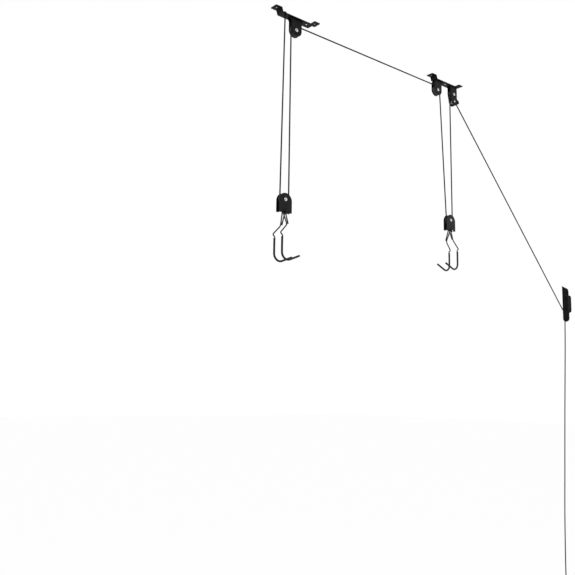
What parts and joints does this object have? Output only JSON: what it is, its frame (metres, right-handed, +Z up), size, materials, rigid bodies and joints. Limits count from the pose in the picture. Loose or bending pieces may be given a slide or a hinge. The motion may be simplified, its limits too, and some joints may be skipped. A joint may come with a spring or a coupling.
{
  "type": "ceiling bike mount",
  "caption": "Rope hoist for a bicycle: two ceiling brackets with pulleys, two hanging pulley blocks with sleeved hooks, a rope lock and a wall cleat.",
  "frame": {"origin": "centre of bracket A's screw pattern in the ceiling plane", "axes": "+X along the hoist from bracket A to bracket B and the wall cleat, +Y sideways away from the viewer, +Z up into the ceiling"},
  "size_m": [1.821, 0.0943, 2.2007],
  "materials": {
    "painted_steel": "satin black paint on pressed steel",
    "zinc": "bright zinc plate",
    "sheave_nylon": "black moulded nylon",
    "rope": "dark grey braided polyester",
    "tie_band": "black rubber",
    "hook_wire": "grey-black coated round wire",
    "vinyl": "dipped black vinyl, soft sheen"
  },
  "bodies": {
    "frame": {"bracket_a_strip": "painted_steel", "bracket_a_housing": "painted_steel", "bracket_a_rivets": "painted_steel", "bracket_a_axle": "zinc", "bracket_b_strip": "painted_steel", "bracket_b_left_housing": "painted_steel", "bracket_b_lock_housing": "painted_steel", "bracket_b_rivets": "painted_steel", "bracket_b_left_axle": "zinc", "bracket_b_right_axle": "zinc", "lock_guide_pin": "painted_steel", "rope_end_knot": "rope", "rope_run": "rope", "rope_lead": "rope", "rope_cleat_turn": "rope", "rope_tail": "rope", "rope_coil": "rope", "coil_tie": "tie_band", "fall_a_tied": "rope", "fall_a_free": "rope", "fall_b_left": "rope", "fall_b_right": "rope", "wall_cleat": "painted_steel"},
    "sheave_a": {"bracket_a_sheave": "sheave_nylon"},
    "sheave_b_left": {"bracket_b_left_sheave": "sheave_nylon"},
    "sheave_b_right": {"bracket_b_right_sheave": "sheave_nylon"},
    "jam_roller": {"lock_roller": "zinc"},
    "block_a": {"block_a_near_cheek": "painted_steel", "block_a_far_cheek": "painted_steel", "block_a_axle": "zinc", "block_a_hook_pin": "zinc", "block_a_rope": "rope"},
    "block_b": {"block_b_near_cheek": "painted_steel", "block_b_far_cheek": "painted_steel", "block_b_axle": "zinc", "block_b_hook_pin": "zinc", "block_b_rope": "rope"},
    "block_a_wheel": {"block_a_sheave": "sheave_nylon"},
    "block_b_wheel": {"block_b_sheave": "sheave_nylon"},
    "hook_a_near": {"hook_a_near_wire": "hook_wire", "hook_a_near_sleeve": "vinyl"},
    "hook_a_far": {"hook_a_far_wire": "hook_wire", "hook_a_far_sleeve": "vinyl"},
    "hook_b_near": {"hook_b_near_wire": "hook_wire", "hook_b_near_sleeve": "vinyl"},
    "hook_b_far": {"hook_b_far_wire": "hook_wire", "hook_b_far_sleeve": "vinyl"}
  },
  "joints": [
    {"name": "block_a_lift", "type": "slide", "parent": "frame", "child": "block_a", "axis": [0, 0, 1], "range_m": [-1, 0.43], "deforming": ["fall_a_tied", "fall_a_free"]},
    {"name": "block_b_lift", "type": "slide", "parent": "frame", "child": "block_b", "axis": [0, 0, 1], "range_m": [-1, 0.43], "deforming": ["fall_b_left", "fall_b_right"]},
    {"name": "sheave_a_spin", "type": "hinge", "parent": "frame", "child": "sheave_a", "pos_m": [-0.002, 0, -0.057], "axis": [0, 1, 0], "continuous": true},
    {"name": "sheave_b_left_spin", "type": "hinge", "parent": "frame", "child": "sheave_b_left", "pos_m": [0.756, 0, -0.057], "axis": [0, 1, 0], "continuous": true},
    {"name": "sheave_b_right_spin", "type": "hinge", "parent": "frame", "child": "sheave_b_right", "pos_m": [0.8595, 0, -0.048], "axis": [0, 1, 0], "continuous": true},
    {"name": "block_a_wheel_spin", "type": "hinge", "parent": "block_a", "child": "block_a_wheel", "pos_m": [-0.038, 0, -0.664], "axis": [0, 1, 0], "continuous": true},
    {"name": "block_b_wheel_spin", "type": "hinge", "parent": "block_b", "child": "block_b_wheel", "pos_m": [0.826, 0, -0.593], "axis": [0, 1, 0], "continuous": true},
    {"name": "jam_roller_slide", "type": "slide", "parent": "frame", "child": "jam_roller", "axis": [0.9848, 0, 0.1736], "range_m": [0, 0.0036]},
    {"name": "hook_a_near_swing", "type": "hinge", "parent": "block_a", "child": "hook_a_near", "pos_m": [-0.038, -0.0026, -0.69505], "axis": [-1, 0, 0], "range_deg": [0, 7]},
    {"name": "hook_a_far_swing", "type": "hinge", "parent": "block_a", "child": "hook_a_far", "pos_m": [-0.038, 0.0026, -0.69505], "axis": [1, 0, 0], "range_deg": [0, 7]},
    {"name": "hook_b_near_swing", "type": "hinge", "parent": "block_b", "child": "hook_b_near", "pos_m": [0.826, -0.0026, -0.62405], "axis": [-1, 0, 0], "range_deg": [0, 7]},
    {"name": "hook_b_far_swing", "type": "hinge", "parent": "block_b", "child": "hook_b_far", "pos_m": [0.826, 0.0026, -0.62405], "axis": [1, 0, 0], "range_deg": [0, 7]}
  ],
  "couplings": [
    {"joint": "block_b_lift", "follows": "block_a_lift", "ratio": 1},
    {"joint": "sheave_a_spin", "follows": "block_a_lift", "rad_per_m": 106.95},
    {"joint": "sheave_b_left_spin", "follows": "block_a_lift", "rad_per_m": 106.95},
    {"joint": "sheave_b_right_spin", "follows": "block_a_lift", "rad_per_m": 213.9},
    {"joint": "block_a_wheel_spin", "follows": "block_a_lift", "rad_per_m": -53.476},
    {"joint": "block_b_wheel_spin", "follows": "block_a_lift", "rad_per_m": -160.43}
  ]
}
